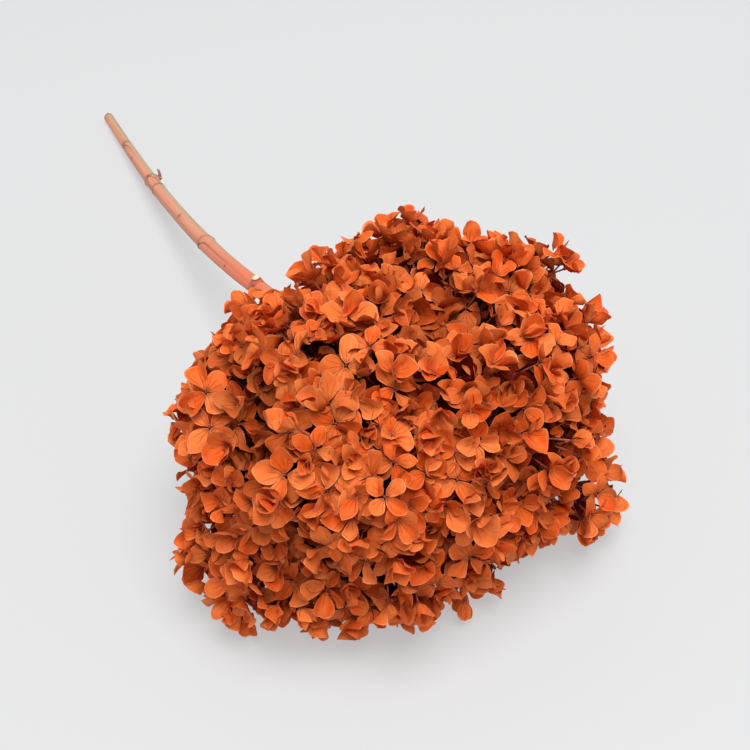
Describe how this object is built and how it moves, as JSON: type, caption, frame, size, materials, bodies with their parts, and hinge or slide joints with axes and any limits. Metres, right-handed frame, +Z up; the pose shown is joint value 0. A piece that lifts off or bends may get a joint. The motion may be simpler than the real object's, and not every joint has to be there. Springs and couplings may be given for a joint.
{
  "type": "cut stem of dried hydrangea",
  "caption": "Woody cut stem with one round orange dried hydrangea head of four-sepalled florets, lying on its side.",
  "frame": {"origin": "on the table, under the middle of the box round the whole object", "axes": "+Y from the flower head towards the stem's cut end, +Z up from the table that it lies on, +X to the right seen from the head's side"},
  "size_m": [0.1936, 0.4222, 0.1319],
  "materials": {
    "stem": "Dry woody bark, tan to pinkish, with fine lengthwise grooves, darker leaf scars and paler cut ends; matt.",
    "petals": "Dried, preserved petals, burnt orange with fine darker veins, paler at their rims; matt and slightly translucent."
  },
  "bodies": {
    "root": {"stem": "stem", "flower_head": "petals"}
  },
  "joints": []
}
